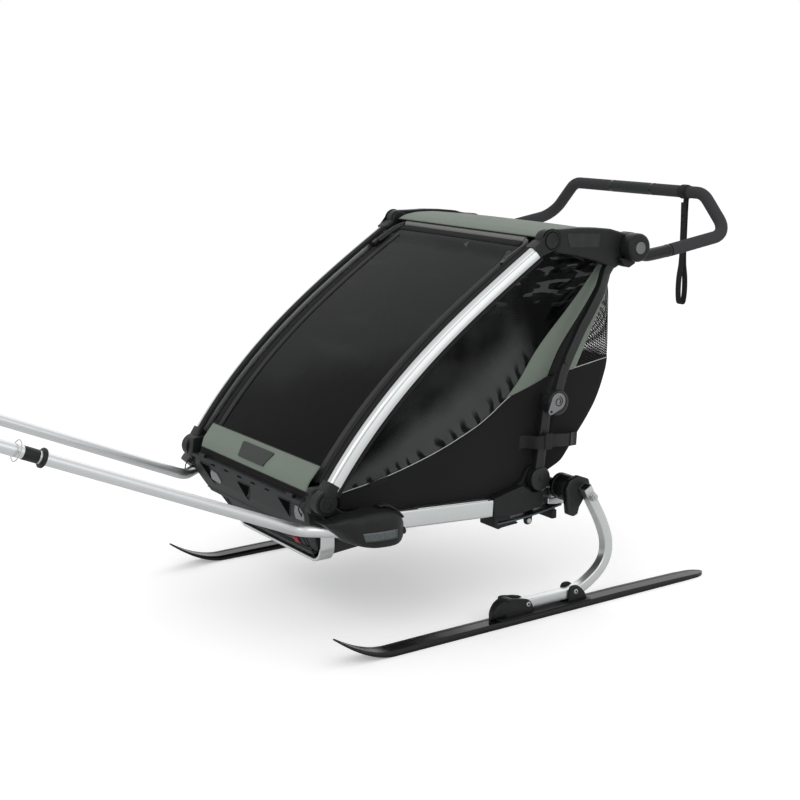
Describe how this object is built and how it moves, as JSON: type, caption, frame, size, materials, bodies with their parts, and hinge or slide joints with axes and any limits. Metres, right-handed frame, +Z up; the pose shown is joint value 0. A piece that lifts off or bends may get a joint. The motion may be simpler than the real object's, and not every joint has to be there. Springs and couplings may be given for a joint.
{
  "type": "child trailer with ski kit",
  "caption": "Two-seat child trailer on a ski kit: folding frame, fabric cabin, push handle with wrist strap, sprung axle, ski legs and detachable tow poles.",
  "frame": {"origin": "centre of the bounding box's bottom face, on the plane that the skis run on", "axes": "+X to the right as seen from the front, +Y from the tow poles back to the push handle, +Z up"},
  "size_m": [0.898, 2.786, 1.026],
  "materials": {
    "aluminium": "brushed, clear anodised",
    "moulding": "fine-grained black moulding",
    "black_tube": "satin black coating",
    "foam": "matt foam",
    "grey_plastic": "mid grey, satin",
    "grey_lever": "light grey metallic, satin",
    "sage_fabric": "grey-green heathered weave",
    "black_fabric": "black weave",
    "window": "tinted film, glossy",
    "ski_plastic": "glossy black",
    "spring_steel": "dark steel"
  },
  "bodies": {
    "chassis": {"side_rail_right": "aluminium", "side_rail_left": "aluminium", "front_bumper": "aluminium", "footwell_tub": "moulding", "front_corner_right": "moulding", "front_corner_left": "moulding", "hitch_wing_right": "moulding", "hitch_wing_left": "moulding", "rear_casting_right": "moulding", "rear_casting_left": "moulding", "rear_cross_tube": "black_tube", "seat": "black_fabric", "harness_right": "black_fabric", "harness_left": "black_fabric", "side_panel_right": "black_fabric", "side_panel_left": "black_fabric", "cargo_bag": "black_fabric", "side_strap_right": "black_fabric", "side_strap_left": "black_fabric", "leaf_spring_right": "spring_steel", "leaf_spring_left": "spring_steel", "pole_rear_right": "aluminium", "pole_rear_left": "aluminium"},
    "front_frame": {"pillar_right": "aluminium", "pillar_left": "aluminium", "pillar_foot_right": "moulding", "pillar_foot_left": "moulding", "pillar_head_right": "moulding", "pillar_head_left": "moulding", "window_roller": "grey_plastic", "front_cover": "window"},
    "top_frame": {"top_housing_right": "moulding", "top_housing_left": "moulding", "rear_post_right": "black_tube", "rear_post_left": "black_tube", "top_crossbar": "black_tube", "roof_canopy": "sage_fabric"},
    "lower_frame": {"rear_strut_right": "black_tube", "rear_strut_left": "black_tube"},
    "running_gear": {"axle_beam": "moulding", "ski_leg_right": "aluminium", "ski_leg_left": "aluminium", "ski_right": "ski_plastic", "ski_left": "ski_plastic", "ski_binding_right": "moulding", "ski_binding_left": "moulding"},
    "handlebar": {"handlebar": "foam", "handle_hub_right": "moulding", "handle_hub_left": "moulding"},
    "wrist_strap": {"wrist_strap": "black_fabric"},
    "fold_lever_right": {"fold_lever_right": "grey_lever"},
    "fold_lever_left": {"fold_lever_left": "grey_lever"},
    "hub_button_right": {"hub_button_right": "grey_plastic"},
    "hub_button_left": {"hub_button_left": "grey_plastic"},
    "wing_lever_right": {"wing_lever_right": "moulding"},
    "wing_lever_left": {"wing_lever_left": "moulding"},
    "pole_front_right": {"pole_front_right": "aluminium"},
    "pole_front_left": {"pole_front_left": "aluminium"},
    "lock_ring_right": {"lock_ring_right": "spring_steel"},
    "lock_ring_left": {"lock_ring_left": "spring_steel"}
  },
  "joints": [
    {"name": "frame_fold", "type": "hinge", "parent": "chassis", "child": "front_frame", "pos_m": [0, 0.1262, 0.36], "axis": [-1, 0, 0], "range_deg": [0, 26.5], "deforming": ["seat", "harness_right", "harness_left", "side_panel_right", "side_panel_left", "cargo_bag", "side_strap_right", "side_strap_left"]},
    {"name": "top_fold", "type": "hinge", "parent": "front_frame", "child": "top_frame", "pos_m": [0, 0.7742, 0.921], "axis": [-1, 0, 0], "range_deg": [0, 43.3]},
    {"name": "rear_fold", "type": "hinge", "parent": "chassis", "child": "lower_frame", "pos_m": [0, 0.7542, 0.323], "axis": [1, 0, 0], "range_deg": [0, 66.5]},
    {"name": "handlebar_tilt", "type": "hinge", "parent": "top_frame", "child": "handlebar", "pos_m": [0, 1.0352, 0.89], "axis": [1, 0, 0], "range_deg": [-45, 95]},
    {"name": "strap_swing", "type": "hinge", "parent": "handlebar", "child": "wrist_strap", "pos_m": [0.194, 1.3742, 1.0055], "axis": [1, 0, 0], "range_deg": [-60, 60]},
    {"name": "axle_travel", "type": "hinge", "parent": "chassis", "child": "running_gear", "pos_m": [0, 0.7662, 0.262], "axis": [1, 0, 0], "range_deg": [0, 5], "stiffness_Nm_per_rad": 250, "springref_deg": -2.86, "deforming": ["leaf_spring_right", "leaf_spring_left"]},
    {"name": "fold_lever_right", "type": "hinge", "parent": "top_frame", "child": "fold_lever_right", "pos_m": [0.382, 0.7812, 0.521], "axis": [1, 0, 0], "range_deg": [0, 50], "stiffness_Nm_per_rad": 0.3, "springref_deg": -20.05},
    {"name": "hub_button_right", "type": "slide", "parent": "handlebar", "child": "hub_button_right", "axis": [-1, 0, 0], "range_m": [0, 0.004], "stiffness_N_per_m": 800, "springref_m": -0.002},
    {"name": "wing_lever_right", "type": "hinge", "parent": "chassis", "child": "wing_lever_right", "pos_m": [0.378, 0.2407, 0.3467], "axis": [1, 0, 0], "range_deg": [0, 35], "stiffness_Nm_per_rad": 0.3, "springref_deg": -17.19},
    {"name": "pole_pull_right", "type": "slide", "parent": "chassis", "child": "pole_front_right", "axis": [0.012, -0.9167, 0.3995], "range_m": [0, 0.1]},
    {"name": "ring_turn_right", "type": "hinge", "parent": "pole_front_right", "child": "lock_ring_right", "pos_m": [0.30561, -0.576, 0.57863], "axis": [1, 0, 0], "range_deg": [-40, 40]},
    {"name": "fold_lever_left", "type": "hinge", "parent": "top_frame", "child": "fold_lever_left", "pos_m": [-0.382, 0.7812, 0.521], "axis": [1, 0, 0], "range_deg": [0, 50], "stiffness_Nm_per_rad": 0.3, "springref_deg": -20.05},
    {"name": "hub_button_left", "type": "slide", "parent": "handlebar", "child": "hub_button_left", "axis": [1, 0, 0], "range_m": [0, 0.004], "stiffness_N_per_m": 800, "springref_m": -0.002},
    {"name": "wing_lever_left", "type": "hinge", "parent": "chassis", "child": "wing_lever_left", "pos_m": [-0.378, 0.2407, 0.3467], "axis": [1, 0, 0], "range_deg": [0, 35], "stiffness_Nm_per_rad": 0.3, "springref_deg": -17.19},
    {"name": "pole_pull_left", "type": "slide", "parent": "chassis", "child": "pole_front_left", "axis": [-0.012, -0.9167, 0.3995], "range_m": [0, 0.1]},
    {"name": "ring_turn_left", "type": "hinge", "parent": "pole_front_left", "child": "lock_ring_left", "pos_m": [-0.30561, -0.576, 0.57863], "axis": [1, 0, 0], "range_deg": [-40, 40]}
  ],
  "couplings": [
    {"joint": "top_fold", "follows": "frame_fold", "ratio": 1.629},
    {"joint": "rear_fold", "follows": "frame_fold", "ratio": 2.5011}
  ]
}
